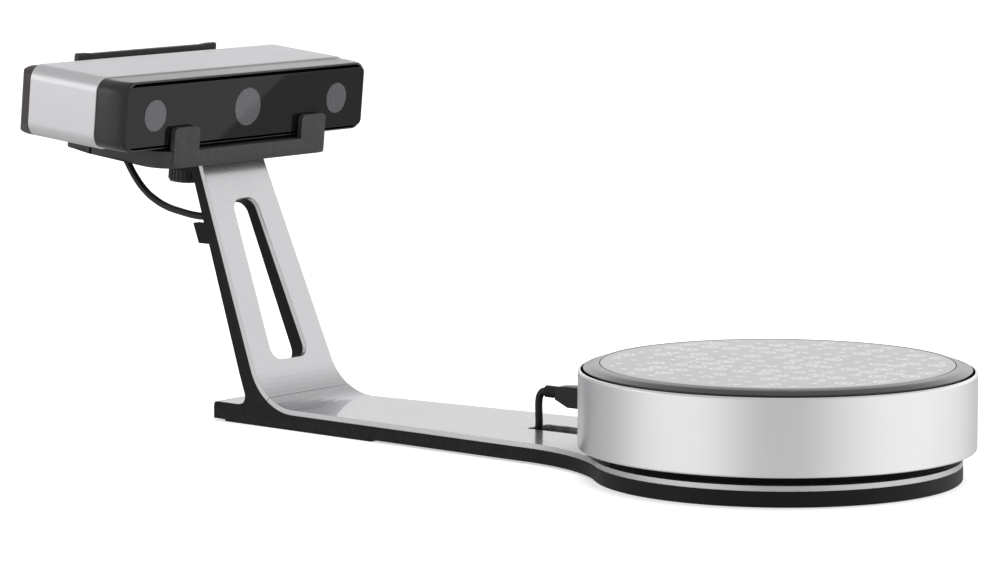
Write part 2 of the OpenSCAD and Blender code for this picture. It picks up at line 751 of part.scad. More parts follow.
module cradle_pads() color(rubber) in_head() {
    for (y = (tray_w / 2 - 14) * [-1, -1 / 3, 1 / 3, 1])
        for (x = [tray_rear + 12.9, tray_front - 21.1])
            translate([x, y - 6, tray_top]) cube([10, 12, pad_t]);
    for (side = [1, -1]) translate([bezel_len + glass_proud(), side * hook_y - 6, -head_h + 3])
        cube([pad_t, 12, 7]);
    for (side = [1, -1]) translate([rear_wall_x + cradle_t, side * (rear_wall_w / 2 - 6) - 4, -30])
        cube([pad_t + 0.2, 8, 20]);
}

module knob() color(black) in_head() translate([knob_x(), 0, tray_bottom - flange_t - knob_h])
    difference() {
        union() {
            cylinder(h = knob_h - 0.4, r = knob_d / 2 - 0.7);
            for (i = [0:knob_ribs - 1]) rotate(360 * i / knob_ribs)
                translate([knob_d / 2 - 1.4, -0.6, 1.2]) cube([1.4, 1.2, knob_h - 3]);
        }
        translate([0, 0, -1]) cylinder(h = 3, r = knob_d / 2 - 3.5);
        translate([0, 0, 4]) cylinder(h = knob_h, r = stud_d / 2 + press_gap);
    }

module knob_stud() color(steel) in_head()
    translate([knob_x(), 0, tray_bottom - flange_t - knob_h + 4])
        cylinder(h = flange_t + knob_h - 4 + tray_h - cradle_t - 0.6, r = stud_d / 2);

// ---------------------------------------------------------------- head

module head_outline(inset, r) {
    translate([0, -head_h / 2]) rounded_box(head_w - 2 * inset, head_h - 2 * inset, r);
}

module head_sleeve() color(silver) in_head() along_x(-sleeve_len, 0) difference() {
    head_outline(0, sleeve_r);
    head_outline(sleeve_t, sleeve_r - sleeve_t);
}

// Block whose front edges are rounded in plan and in side view
module front_block(x0, x1, inset, plan_r, side_r) {
    w = head_w / 2 - inset;
    intersection() {
        along_x(x0, x1) head_outline(inset, sleeve_r - inset);
        translate([0, 0, -far / 2]) linear_extrude(far)
            polygon(rounded([[x0 - 1, -w], [x1, -w], [x1, w], [x0 - 1, w]],
                            [0, plan_r, plan_r, 0]));
        across(far) polygon(rounded(
            [[x0 - 1, -head_h + inset], [x1, -head_h + inset], [x1, -inset], [x0 - 1, -inset]],
            [0, side_r, side_r, 0]));
    }
}

glass_w = head_w - 10;
glass_h = head_h - 6.4;
glass_z = -head_h / 2 - 0.3;

module front_bezel() color(black) in_head() difference() {
    union() {
        front_block(0, bezel_len, bezel_inset, 7, 2);
        along_x(-8, 0.01) head_outline(sleeve_t + fit_gap, sleeve_r - sleeve_t - fit_gap);
    }
    along_x(-9, bezel_len - glass_t - 3) head_outline(sleeve_t + 2, sleeve_r - sleeve_t - 2);
    along_x(bezel_len - glass_t, bezel_len + 1)
        translate([0, glass_z]) rounded_box(glass_w + 2 * fit_gap, glass_h + 2 * fit_gap, 3.6);
    optic_holes(bezel_len - glass_t - 4, bezel_len);
}

module optic_holes(x0, x1) {
    for (side = [1, -1]) translate([x0, side * camera_y, -optic_drop])
        rotate([0, 90, 0]) cylinder(h = x1 - x0, r = camera_window_r);
    translate([x0, 0, -optic_drop]) rotate([0, 90, 0])
        cylinder(h = x1 - x0, r = projector_window_r);
}

module front_glass() color([0.08, 0.08, 0.09]) in_head()
    along_x(bezel_len - glass_t, bezel_len + glass_proud() - 0.1)
        translate([0, glass_z]) rounded_box(glass_w, glass_h, 3.5);

module rear_cap() color(brown) in_head() mirror([1, 0, 0]) difference() {
    union() {
        front_block(sleeve_len, -cap_rear, 0, 4.5, 4.5);
        along_x(sleeve_len - 6, sleeve_len + 0.01)
            head_outline(sleeve_t + fit_gap, sleeve_r - sleeve_t - fit_gap);
    }
    along_x(sleeve_len - 7, -cap_rear - cap_t)
        head_outline(sleeve_t + 2, sleeve_r - sleeve_t - 2);
    translate([0, plug_exit.y, -optic_drop]) port_hole(3.6);
    translate([0, power_inlet_y, -optic_drop]) port_hole(5);
    translate([0, button_y, -optic_drop]) port_hole(button_r + slide_gap);
    along_x(sleeve_len, -cap_rear + 1) translate([usb_y, -optic_drop]) square([12.4, 11.4], true);
    for (p = cap_screw_at) translate([sleeve_len, p.x, p.y]) rotate([0, 90, 0])
        cylinder(h = 20, r = 1.5 + screw_gap);
}

power_inlet_y = 18;
usb_y = 36;
button_y = -30;
button_r = 5;
button_travel = 1.2;
button_lip = 1.2;
cap_t = 2.5;         // wall of the rear cap behind the ports
cap_screw_at = [for (z = [-9, -head_h + 9]) for (side = [-1, 1])
    [side * (head_w / 2 - 13.2), z]];

module port_hole(r) {
    translate([sleeve_len, 0, 0]) rotate([0, 90, 0]) cylinder(h = 20, r = r);
}

board_x = -sleeve_len + 8;
board_t = 1.6;
inner_h = head_h - 2 * sleeve_t;
inner_w = head_w - 2 * sleeve_t;
plate_margin = 8.2;  // from the sleeve's wall to the optics plate, clear of its corners
board_margin = 18.2; // from the sleeve's wall to the main board

module main_board() color(board_green) in_head() along_x(board_x, board_x + board_t)
    translate([0, -head_h / 2]) square([inner_w - 2 * board_margin, inner_h], true);

module power_inlet() color(rubber) in_head() translate([0, power_inlet_y, -optic_drop])
    rotate([0, -90, 0]) translate([0, 0, -board_x]) difference() {
        union() {
            cylinder(h = -cap_rear + board_x - 0.4, r = 4.9);
            translate([-6, -6, 0]) cube([12, 12, -cap_rear + board_x - 3]);
        }
        translate([0, 0, 8]) cylinder(h = 20, r = 2.9);
    }

module usb_port() color(steel) in_head() along_x(cap_rear + 0.4, board_x) difference() {
    translate([usb_y, -optic_drop]) square([12, 11], true);
    translate([usb_y, -optic_drop]) square([8.4, 7.6], true);
}

module lead_port() color(rubber) in_head() translate([0, plug_exit.y, -optic_drop])
    rotate([0, -90, 0]) translate([0, 0, -board_x]) difference() {
        union() {
            cylinder(h = -cap_rear + board_x - 2.6, r = 5.5);
            translate([-6, -6, 0]) cube([12, 12, 6]);
        }
        translate([0, 0, 7]) cylinder(h = 20, r = 3.6);
    }

module power_button() color(black) in_head() translate([0, button_y, -optic_drop])
    rotate([0, -90, 0]) translate([0, 0, -cap_rear - cap_t - button_lip - 0.05]) {
        cylinder(h = cap_t + button_lip + 1.6, r = button_r);
        cylinder(h = button_lip, r = button_r + 1.4);
    }

module button_switch() color(black) in_head() translate([0, button_y, -optic_drop])
    rotate([0, -90, 0]) translate([0, 0, -board_x]) {
        reach = -cap_rear - cap_t - button_lip - 0.05 + board_x - button_travel - 0.1;
        translate([-3.5, -3.5, 0]) cube([7, 7, reach - 2.5]);
        cylinder(h = reach, r = 1.8);
    }

module cap_screws() color(steel) in_head()
    for (p = cap_screw_at) translate([cap_rear - 0.01, p.x, p.y]) rotate([0, 90, 0]) {
        translate([0, 0, 2.5]) cylinder(h = 9, r = 1.5);
        translate([0, 0, -0.6]) cylinder(h = 0.6, r = 2.6);
        cylinder(h = 3, r = 1.5);
    }

plate_x = -12;
plate_t = 3;
module optics_plate() color(steel) in_head() difference() {
    along_x(plate_x - plate_t, plate_x)
        translate([0, -head_h / 2]) square([inner_w - 2 * plate_margin, inner_h], true);
    optic_barrels(plate_x - 10, plate_x + 5, 0.05);
}

camera_barrel_r = 7.4;
projector_barrel_r = 9.4;
lens_front = 13;
module optic_barrels(x0, x1, gap) {
    for (side = [1, -1]) translate([x0, side * camera_y, -optic_drop])
        rotate([0, 90, 0]) cylinder(h = x1 - x0, r = camera_barrel_r + gap);
    translate([x0, 0, -optic_drop])
        rotate([0, 90, 0]) cylinder(h = x1 - x0, r = projector_barrel_r + gap);
}

// Lens barrel with a dished glass, a flange behind the optics plate and a sensor block
module camera(y) {
    translate([0, y, -optic_drop]) rotate([0, 90, 0]) difference() {
        union() {
            translate([0, 0, plate_x - plate_t])
                cylinder(h = lens_front - plate_x + plate_t, r = camera_barrel_r);
            translate([0, 0, plate_x - plate_t - 4]) cylinder(h = 4, r = 11);
            translate([-12, -12, plate_x - plate_t - 12]) cube([24, 24, 8.01]);
        }
        translate([0, 0, lens_front - 3]) cylinder(h = 5, r1 = 4.6, r2 = 7);
    }
}

module camera_left() color(black) in_head() camera(-camera_y);
module camera_right() color(black) in_head() camera(camera_y);

module projector() color(black) in_head() translate([0, 0, -optic_drop]) rotate([0, 90, 0])
    difference() {
        union() {
            translate([0, 0, plate_x - plate_t])
                cylinder(h = lens_front - plate_x + plate_t, r = projector_barrel_r);
            translate([-15, -24, plate_x - plate_t - 22]) cube([30, 48, 22]);
        }
        translate([0, 0, lens_front - 4]) cylinder(h = 5, r1 = 6, r2 = 9);
    }

// ---------------------------------------------------------------- turntable

module revolved(points) {
    rotate_extrude($fn = 180) polygon(points);
}

module drum_shell() color(silver) on_base() difference() {
    inner = drum_r - drum_t;
    revolved(concat(
        [[inner, drum_z], [drum_r - 1.2, drum_z]],
        arc([drum_r - 1.2, drum_z + 1.2], 1.2, -90, 0, 5),
        arc([drum_r - 1.5, drum_top - 1.5], 1.5, 0, 90, 6),
        [[inner + 0.8, drum_top], [inner + 0.8, drum_top - 4], [inner, drum_top - 5]]));
    translate([-drum_r - 5, -6.6, plug_z - 8.8]) cube([20, 13.2, 14.6]);
}

module turntable_chassis() color(black) on_base() difference() {
    union() {
        revolved([[0, skin_top], [plinth_r, skin_top], [plinth_r, drum_z],
                  [chassis_r, drum_z], [chassis_r, floor_top], [0, floor_top]]);
        cylinder_at([0, 0], floor_root, boss_top, boss_r);
        cylinder_at(idler_at, floor_root, idler_large_z - 0.6, 5.5);
        for (a = unit_screw_angles) rotate(a) translate([unit_screw_r, 0, floor_root])
            cylinder(h = 9.5, r = 5);
        for (side = [1, -1]) motor_ear(side) translate([0, 0, floor_root])
            cylinder(h = motor_top - 2 - floor_root, r = 3.8);
        for (a = [20:40:340]) rotate(a) translate([boss_r - 1, -1, floor_top - 0.5])
            cube([plinth_r - boss_r - 8, 2, 3]);
    }
    revolved([[0, skin_top - 1], [bearing_r + press_gap, skin_top - 1],
              [bearing_r + press_gap, lower_bearing_z + bearing_h],
              [bearing_r - 2, lower_bearing_z + bearing_h], [bearing_r - 2, upper_bearing_z],
              [bearing_r + press_gap, upper_bearing_z], [bearing_r + press_gap, boss_top + 1],
              [0, boss_top + 1]]);
    cylinder_at(motor_at, floor_top, far, motor_r + 0.6);
    cylinder_at(idler_at, drum_z + 1, far, pin_d / 2 + press_gap);
    for (a = unit_screw_angles) rotate(a) translate([unit_screw_r, 0, 0])
        cylinder(h = drum_z + 9, r = unit_screw_d / 2);
    for (side = [1, -1]) motor_ear(side) translate([0, 0, motor_top - 10])
        cylinder(h = 20, r = 1.5);
    translate([table_board_x - 1, -table_board.y / 2 - 1, floor_top])
        cube(table_board + [2, 2, 18.4]);
}

module cylinder_at(p, z0, z1, r) {
    translate([p.x, p.y, z0]) cylinder(h = z1 - z0, r = r);
}

module motor_ear(side) {
    translate(concat(motor_at, [0])) rotate(motor_angle + 90)
        translate([side * (motor_r + 6), 0, 0]) children();
}

module platter() color(black) on_base() difference() {
    revolved([
        [0, marker_seat], [marker_r + 0.4, marker_seat], [marker_r + 0.4, platter_top - 0.2],
        [marker_r + 0.9, platter_top], [marker_r + 1.6, platter_top],
        [platter_r, drum_top + 0.9], [platter_r, drum_top - 3],
        [platter_r - 2.5, drum_top - 3], [platter_r - 2.5, platter_under],
        [24, platter_under], [24, platter_under - 4], [0, platter_under - 4]]);
    translate([0, 0, platter_under - 5])
        cylinder(h = 5 + spindle_seat + 0.05, r = spindle_d / 2 + press_gap);
    for (a = [0:90:270]) rotate(a + 45) translate([18, 0, platter_under - 5])
        cylinder(h = 6, r = 1.5);
}

module marker_disc() color([0.12, 0.12, 0.13]) on_base()
    translate([0, 0, marker_seat]) cylinder(h = marker_t, r = marker_r, $fn = 180);

module platter_gear() color(nylon) on_base() difference() {
    translate([0, 0, gear_z]) rotate(idler_angle) linear_extrude(tooth_w)
        gear_outline(platter_teeth, platter_module);
    translate([0, 0, gear_z - 1]) cylinder(h = tooth_w + 2, r = spindle_d / 2 + press_gap);
    for (a = [0:90:270]) rotate(a + 45) translate([18, 0, gear_z - 1])
        cylinder(h = tooth_w + 2, r = 1.5 + screw_gap);
    for (a = [0:60:300]) rotate(a) translate([32, 0, gear_z - 1])
        cylinder(h = tooth_w + 2, r = 6.5);
}

module gear_screws() color(steel) on_base()
    for (a = [0:90:270]) rotate(a + 45) translate([18, 0, gear_z - 1.4]) {
        cylinder(h = tooth_w + 5.4, r = 1.5);
        cylinder(h = 1.4, r = 2.7);
    }

module spindle() color(steel) on_base() difference() {
    revolved([[0, clip_z - 1.4], [spindle_d / 2 - 0.5, clip_z - 1.4],
              [spindle_d / 2, clip_z - 0.9], [spindle_d / 2, platter_under + spindle_seat],
              [0, platter_under + spindle_seat]]);
    difference() {
        translate([0, 0, clip_z]) cylinder(h = 1, r = spindle_d);
        translate([0, 0, clip_z - 1]) cylinder(h = 3, r = spindle_d / 2 - 0.7);
    }
}

module bearing(z) {
    difference() {
        translate([0, 0, z]) cylinder(h = bearing_h, r = bearing_r);
        translate([0, 0, z - 1]) cylinder(h = bearing_h + 2, r = spindle_d / 2 + run_gap);
        for (face = [z - 0.4, z + bearing_h - 0.4]) translate([0, 0, face]) difference() {
            cylinder(h = 0.8, r = bearing_r - 1.4);
            translate([0, 0, -1]) cylinder(h = 3, r = spindle_d / 2 + 1.6);
        }
    }
}

module upper_bearing() color(steel) on_base() bearing(upper_bearing_z);
module lower_bearing() color(steel) on_base() bearing(lower_bearing_z);

module spindle_clip() color(steel) on_base() difference() {
    translate([0, 0, clip_z + 0.1]) cylinder(h = 0.8, r = spindle_d / 2 + 2);
    translate([0, 0, clip_z - 1]) cylinder(h = 4, r = spindle_d / 2 - 0.7);
    translate([0, -3, clip_z - 1]) cube([20, 6, 4]);
}

module idler_gear() color(nylon) on_base() translate(concat(idler_at, [0])) difference() {
    union() {
        translate([0, 0, idler_large_z]) rotate(motor_angle)
            linear_extrude(tooth_w) gear_outline(idler_large_teeth, motor_module);
        translate([0, 0, idler_large_z]) cylinder(h = gear_z - idler_large_z, r = 8);
        translate([0, 0, gear_z - 0.5]) rotate(idler_angle + 180 + 180 / idler_small_teeth)
            linear_extrude(tooth_w + 1) gear_outline(idler_small_teeth, platter_module);
    }
    translate([0, 0, idler_large_z - 1]) cylinder(h = far, r = pin_d / 2 + run_gap);
    for (a = [0:60:300]) rotate(a) translate([17.5, 0, idler_large_z - 1])
        cylinder(h = tooth_w + 2, r = 5);
}

module idler_pin() color(steel) on_base()
    cylinder_at(idler_at, drum_z + 1, gear_z + tooth_w + 2.3, pin_d / 2);

module idler_clip() color(steel) on_base() difference() {
    cylinder_at(idler_at, gear_z + tooth_w + 0.8, gear_z + tooth_w + 1.6, pin_d / 2 + 2);
    cylinder_at(idler_at, gear_z, gear_z + tooth_w + 4, pin_d / 2);
}

module motor_pinion() color(nylon) on_base() translate(concat(motor_at, [0])) difference() {
    translate([0, 0, idler_large_z - 0.5])
        rotate(motor_angle + 180 + 180 / pinion_teeth)
            linear_extrude(tooth_w + 1) gear_outline(pinion_teeth, motor_module);
    translate([0, 0, idler_large_z - 2]) cylinder(h = far, r = motor_shaft_d / 2 + press_gap);
}

module drive_motor() color(steel) on_base() difference() {
    union() {
        cylinder_at(motor_at, floor_top, motor_top, motor_r);
        cylinder_at(motor_at, floor_top, motor_top + 1.5, 5);
        for (side = [1, -1]) motor_ear(side) translate([-4.5, -4.5, motor_top - 2])
            cube([9, 9, 1.5]);
        translate(concat(motor_at, [motor_top - 2])) rotate(motor_angle + 90)
            translate([-motor_r - 4, -4.5, 0]) cube([2 * motor_r + 8, 9, 1.5]);
    }
    cylinder_at(motor_at, motor_top - 14, far, motor_shaft_d / 2 + run_gap);
    for (side = [1, -1]) motor_ear(side) translate([0, 0, motor_top - 5])
        cylinder(h = 10, r = 1.5 + screw_gap);
}

module motor_shaft() color(steel) on_base()
    cylinder_at(motor_at, motor_top - 13.8, idler_large_z + tooth_w + 1.5, motor_shaft_d / 2);

module motor_screws() color(steel) on_base() for (side = [1, -1]) motor_ear(side) {
    translate([0, 0, motor_top - 0.5]) cylinder(h = 1.5, r = 2.7);
    translate([0, 0, motor_top - 8]) cylinder(h = 8, r = 1.5);
}

module turntable_board() color(board_green) on_base()
    translate([table_board_x, -table_board.y / 2, floor_top]) cube(table_board);

module turntable_socket() color(black) on_base() translate([0, 0, plug_z]) difference() {
    translate([-drum_r + drum_t - 1.8, -6.5, -8.7]) cube([18, 13, 14.4]);
    translate([-drum_r - 10, -4.6, -7.3]) cube([plug_tip + drum_r + 10 + fit_gap, 9.2, 11.7]);
}

module unit_screws() color(steel) on_base()
    for (a = unit_screw_angles) rotate(a)
        translate([unit_screw_r, 0, frame_z + cover_t + 2.6])
            screw(unit_screw_d, drum_z + 8 - frame_z - cover_t - 2.6, 7.6, 2.4);

// ---------------------------------------------------------------- drawing

stand_frame();
arm_skin();
neck_skin();
heel_plate();
bottom_cover();
rear_foot_pad();
disc_feet();
cover_screws();
cable_clip();
lead();
head_plug();
turntable_plug();
cradle();
cradle_pads();
knob();
knob_stud();
head_sleeve();
front_bezel();
front_glass();
rear_cap();
optics_plate();
camera_left();
camera_right();
projector();
main_board();
power_inlet();
usb_port();
lead_port();
power_button();
button_switch();
cap_screws();
drum_shell();
turntable_chassis();
platter();
marker_disc();
platter_gear();
gear_screws();
spindle();
upper_bearing();
lower_bearing();
spindle_clip();
idler_gear();
idler_pin();
idler_clip();
motor_pinion();
motor_shaft();
drive_motor();
motor_screws();
turntable_board();
turntable_socket();
unit_screws();
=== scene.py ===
"""Looks of the desktop 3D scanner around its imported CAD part, in metres in the part's own frame."""

import math

import bmesh
import bpy
from mathutils import Matrix, Vector


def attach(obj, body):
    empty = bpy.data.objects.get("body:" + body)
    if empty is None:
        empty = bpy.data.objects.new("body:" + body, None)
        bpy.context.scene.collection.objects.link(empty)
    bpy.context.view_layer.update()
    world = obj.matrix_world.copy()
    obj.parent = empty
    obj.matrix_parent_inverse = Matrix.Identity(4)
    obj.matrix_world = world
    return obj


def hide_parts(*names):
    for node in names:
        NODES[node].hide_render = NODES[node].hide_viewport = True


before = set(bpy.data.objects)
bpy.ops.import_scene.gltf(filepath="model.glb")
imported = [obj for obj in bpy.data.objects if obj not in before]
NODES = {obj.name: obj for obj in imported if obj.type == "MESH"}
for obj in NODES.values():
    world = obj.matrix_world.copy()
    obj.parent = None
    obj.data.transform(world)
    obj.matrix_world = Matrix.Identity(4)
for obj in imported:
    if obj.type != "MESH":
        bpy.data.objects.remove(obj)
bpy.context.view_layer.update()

# ------------------------------------------------------------------ places, in millimetres
MM = 0.001
TABLE_X = 178.414                # the turntable's axis along the row's X
HEAD_PITCH = math.radians(5.6)
NECK_LEAN = math.radians(21.6)
NECK_FOOT = Vector((-329, 0, 8.7))
NECK_HEAD = Vector((-383.956, 0, 147.5))
OPTIC_Z = -20.6
CAMERA_Y = 78
FILLET = 35                      # radius between the neck's front and the arm's top
SLOT_X = -158.2                  # where the lead comes up out of the arm
WINDOWS = ((-CAMERA_Y, 8.8), (0, 10.8), (CAMERA_Y, 8.8))  # middle and radius of each round window
BARREL_END = 1.6                 # how far a lens's dome starts in front of the head's own origin
LENS_CURVE = 10.5                # radius of a lens's dome
MERGE = 2e-6                     # metres: corners of neighbouring triangles are one corner within this


def base_frame():
    """From the turntable's own frame to the row frame, in metres."""
    return Matrix.Scale(MM, 4) @ Matrix.Translation((TABLE_X, 0, 0))


def head_frame():
    """From the head's own frame: x forward along its pitch, z up, origin on the sleeve's top edge."""
    return (base_frame() @ Matrix.Translation(NECK_HEAD) @ Matrix.Rotation(HEAD_PITCH, 4, "Y")
            @ Matrix.Translation((-6.1, 0, 51)))


def neck_frame():
    """From the neck's own frame: x out of its front face, z up along it."""
    return base_frame() @ Matrix.Translation(NECK_FOOT) @ Matrix.Rotation(-NECK_LEAN, 4, "Y")


# ------------------------------------------------------------------ mesh helpers
def finish_piece(bm, name, material, body, stands_for=(), place=None, sharp=32):
    """Turns a bmesh in millimetres into a piece that rides a body."""
    bmesh.ops.transform(bm, matrix=place or base_frame(), verts=bm.verts)
    bmesh.ops.recalc_face_normals(bm, faces=bm.faces)
    for face in bm.faces:
        face.smooth = True
    for edge in bm.edges:
        edge.smooth = edge.calc_face_angle(0) < math.radians(sharp)
    mesh = bpy.data.meshes.new(name)
    bm.to_mesh(mesh)
    bm.free()
    piece = bpy.data.objects.new(name, mesh)
    bpy.context.scene.collection.objects.link(piece)
    mesh.materials.append(material)
    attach(piece, body)
    if stands_for:
        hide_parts(*stands_for)
    return piece


def turned(bm, profile, at=(0, 0, 0), axis="Z", steps=64):
    """Spins a profile of (radius, height) points about an axis through a point."""
    turn = {"Z": Matrix.Identity(3), "X": Matrix.Rotation(math.radians(90), 3, "Y")}[axis]
    points = [bm.verts.new(Vector(at) + turn @ Vector((r, 0, h))) for r, h in profile]
    edges = [bm.edges.new(pair) for pair in zip(points, points[1:])]
    bmesh.ops.spin(bm, geom=points + edges, cent=at, axis=turn @ Vector((0, 0, 1)), dvec=(0, 0, 0),
                   angle=2 * math.pi, steps=steps, use_merge=True)
    bmesh.ops.remove_doubles(bm, verts=bm.verts, dist=1e-4)


def soften(node, width, segments=3, angle=32):
    """Rounds every sharp edge of a piece by a width in mm, as moulding and deburring leave it."""
    node = NODES.get(node, node)
    for face in node.data.polygons:
        face.use_smooth = True
    weld = node.modifiers.new("weld", "WELD")
    weld.merge_threshold = MERGE
    flat = node.modifiers.new("flat", "DECIMATE")
    flat.decimate_type = "DISSOLVE"
    flat.angle_limit = math.radians(0.2)
    edge = node.modifiers.new("edge", "BEVEL")
    edge.width = width * MM
    edge.segments = segments
    edge.limit_method = "ANGLE"
    edge.angle_limit = math.radians(angle)
    edge.miter_outer = "MITER_ARC"
    even = node.modifiers.new("even", "WEIGHTED_NORMAL")
    even.keep_sharp = False
    even.weight = 90


def remade(name, material, changes, width):
    """A node's own shape with a few parts of it moved: (test on a point, shift), in the head's frame."""
    bm = bmesh.new()
    bm.from_mesh(NODES[name].data)
    bmesh.ops.transform(bm, matrix=head_frame().inverted() @ NODES[name].matrix_world, verts=bm.verts)
    bmesh.ops.remove_doubles(bm, verts=bm.verts, dist=MERGE / MM)
    for test, shift in changes:
        bmesh.ops.translate(bm, verts=[v for v in bm.verts if test(v.co)], vec=shift)
    piece = finish_piece(bm, name + "_finished", material, NODES[name].get("body", "root"),
                         (name,), head_frame())
    soften(piece, width)
    return piece


def paint(material, *names):
    """Gives CAD nodes their procedural material."""
    for name in names:
        NODES[name].data.materials.clear()
        NODES[name].data.materials.append(material)


# ------------------------------------------------------------------ node helpers
def add(tree, kind, inputs=None, **settings):
    """One node, its settings, and its inputs as constants or links."""
    made = tree.nodes.new(kind)
    for key, value in settings.items():
        setattr(made, key, value)
    for key, value in (inputs or {}).items():
        if isinstance(value, bpy.types.NodeSocket):
            tree.links.new(value, made.inputs[key])
        else:
            made.inputs[key].default_value = value
    return made


def maths(tree, operation, a, b=0.0, c=0.0):
    """One sum of values or links."""
    return add(tree, "ShaderNodeMath", {0: a, 1: b, 2: c}, operation=operation).outputs[0]


def spread(tree, value, from_low, from_high, to_low, to_high):
    """Maps a value from one range into another, held at its ends."""
    return add(tree, "ShaderNodeMapRange", {"Value": value, "From Min": from_low, "From Max": from_high,
                                            "To Min": to_low, "To Max": to_high}).outputs["Result"]


def new_group(name, takes, gives):
    """An empty shared node group with its sockets: (name, type, default) and (name, type)."""
    group = bpy.data.node_groups.new(name, "ShaderNodeTree")
    for label, kind, default in takes:
        socket = group.interface.new_socket(label, in_out="INPUT", socket_type=kind)
        socket.default_value = default
    for label, kind in gives:
        group.interface.new_socket(label, in_out="OUTPUT", socket_type=kind)
    return group, group.nodes.new("NodeGroupInput").outputs, group.nodes.new("NodeGroupOutput").inputs


FLOAT = "NodeSocketFloat"


def grain_group():
    """Fine surface grain in the piece's own coordinates: a height, a slow cloud and smudges."""
    group, takes, gives = new_group("surface_grain", [("Size mm", FLOAT, 0.4)],
                                    [("Height", FLOAT), ("Cloud", FLOAT), ("Smudge", FLOAT)])
    place = add(group, "ShaderNodeTexCoord").outputs["Object"]
    scale = maths(group, "DIVIDE", 1000.0, takes["Size mm"])
    fine = add(group, "ShaderNodeTexNoise", {"Vector": place, "Scale": scale, "Detail": 3.0})
    cloud = add(group, "ShaderNodeTexNoise", {"Vector": place, "Scale": 22.0, "Detail": 2.0})
    smudge = add(group, "ShaderNodeTexNoise", {"Vector": place, "Scale": 9.0, "Detail": 6.0,
                                               "Roughness": 0.62, "Distortion": 0.8})
    group.links.new(fine.outputs[0], gives["Height"])
    group.links.new(cloud.outputs[0], gives["Cloud"])
    group.links.new(smudge.outputs[0], gives["Smudge"])
    return group


def wear_group():
    """Where edges stand proud, broken up by a fine noise: a mask from 0 to 1."""
    group, takes, gives = new_group("edge_wear", [("Amount", FLOAT, 0.5)], [("Mask", FLOAT)])
    point = add(group, "ShaderNodeNewGeometry").outputs["Pointiness"]
    place = add(group, "ShaderNodeTexCoord").outputs["Object"]
    noise = add(group, "ShaderNodeTexNoise", {"Vector": place, "Scale": 260.0, "Detail": 3.0})
    edge = spread(group, point, 0.52, 0.60, 0.0, 1.0)
    broken = spread(group, noise.outputs[0], 0.38, 0.66, 0.15, 1.0)
    both = maths(group, "MULTIPLY", edge, broken)
    group.links.new(maths(group, "MULTIPLY", both, takes["Amount"]), gives["Mask"])
    return group


def turning_group():
    """Fine lines round the turntable's axis, as a lathe leaves them: a height."""
    group, takes, gives = new_group("turning_lines", [("Pitch mm", FLOAT, 0.25)], [("Height", FLOAT)])
    place = add(group, "ShaderNodeTexCoord").outputs["Object"]
    apart = add(group, "ShaderNodeSeparateXYZ", {0: place}).outputs
    x = maths(group, "SUBTRACT", apart["X"], TABLE_X * MM)
    flat = add(group, "ShaderNodeCombineXYZ", {"X": x, "Y": apart["Y"]}).outputs[0]
    radius = add(group, "ShaderNodeVectorMath", {0: flat}, operation="LENGTH").outputs["Value"]
    angle = maths(group, "ARCTAN2", apart["Y"], x)
    rate = maths(group, "DIVIDE", 1000.0, takes["Pitch mm"])
    across = maths(group, "MULTIPLY", maths(group, "ADD", radius, apart["Z"]), rate)
    lines = add(group, "ShaderNodeCombineXYZ", {"X": across, "Y": maths(group, "MULTIPLY", angle, 1.5)})
    noise = add(group, "ShaderNodeTexNoise", {"Vector": lines.outputs[0], "Scale": 1.0, "Detail": 2.0})
    group.links.new(noise.outputs[0], gives["Height"])
    return group


GRAIN, WEAR, TURNING = grain_group(), wear_group(), turning_group()


def use(tree, group, **inputs):
    """A shared group in a material, with its own values."""
    made = add(tree, "ShaderNodeGroup", node_tree=group)
    for label, value in inputs.items():
        made.inputs[label.replace("_", " ")].default_value = value
    return made.outputs


def tint(tree, factor, low, high):
    """A colour between two, by a mask."""
    made = add(tree, "ShaderNodeMix", data_type="RGBA")
    tree.links.new(factor, made.inputs[0])
    made.inputs[6].default_value = (*low, 1)
    made.inputs[7].default_value = (*high, 1)
    return made.outputs[2]


def blend_colour(tree, factor, low, high):
    """A painted colour changed towards another where a mask says so."""
    made = add(tree, "ShaderNodeMix", data_type="RGBA")
    tree.links.new(factor, made.inputs[0])
    tree.links.new(low, made.inputs[6])
    made.inputs[7].default_value = (*high, 1)
    return made.outputs[2]


def new_material(name):
    """A material with its nodes: the material, its tree and its shader."""
    material = bpy.data.materials.new(name)
    material.use_nodes = True
    tree = material.node_tree
    return material, tree, tree.nodes["Principled BSDF"]


def surface(name, low, high, rough, size, bump, metal=0.0, coat=0.0, coat_rough=0.05, wear=None,
            amount=0.4, specular=0.5, edge_tint=(1, 1, 1), edge=0.0):
    """A finished surface: colour variation, grain at its real size, smudged gloss and worn edges.

    Sizes are in millimetres: size of the grain, bump its height, edge the rounding of a thin plate.
    """
    material, tree, shader = new_material(name)
    grain = use(tree, GRAIN, Size_mm=size)
    colour = tint(tree, grain["Cloud"], low, high)
    if wear:
        mask = use(tree, WEAR, Amount=amount)["Mask"]
        colour = blend_colour(tree, mask, colour, wear)
    tree.links.new(colour, shader.inputs["Base Color"])
    tree.links.new(spread(tree, grain["Smudge"], 0.3, 0.7, rough[0], rough[1]), shader.inputs["Roughness"])
    raised = add(tree, "ShaderNodeBump", {"Height": grain["Height"], "Distance": bump * MM})
    if edge:
        rounded = add(tree, "ShaderNodeBevel", {"Radius": edge * MM}, samples=8)
        tree.links.new(rounded.outputs[0], raised.inputs["Normal"])
    tree.links.new(raised.outputs[0], shader.inputs["Normal"])
    shader.inputs["Metallic"].default_value = metal
    shader.inputs["Coat Weight"].default_value = coat
    shader.inputs["Coat Roughness"].default_value = coat_rough
    shader.inputs["Specular IOR Level"].default_value = specular
    shader.inputs["Specular Tint"].default_value = (*edge_tint, 1)
    return material


